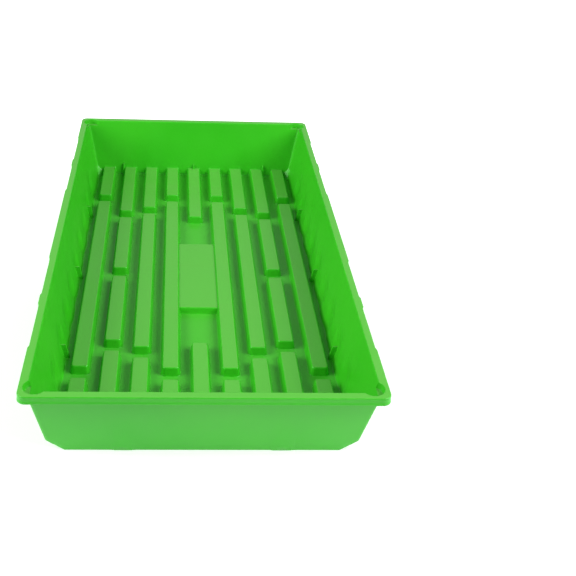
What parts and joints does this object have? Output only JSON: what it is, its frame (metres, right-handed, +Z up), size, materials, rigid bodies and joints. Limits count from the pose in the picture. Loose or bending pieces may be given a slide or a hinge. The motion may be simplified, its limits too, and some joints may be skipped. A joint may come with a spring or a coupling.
{
  "type": "seedling tray",
  "caption": "Shallow rectangular growing tray with leaning walls, a turned-down rim with corner pockets and a floor of raised ribs between water channels.",
  "frame": {"origin": "Middle of the underside, on the surface that the tray stands on.", "axes": "X is across the tray, Y is along it, Z is up."},
  "size_m": [0.28, 0.54, 0.068],
  "materials": {
    "green_plastic": "satin moulded polypropylene"
  },
  "bodies": {
    "root": {"tray": "green_plastic"}
  },
  "joints": []
}
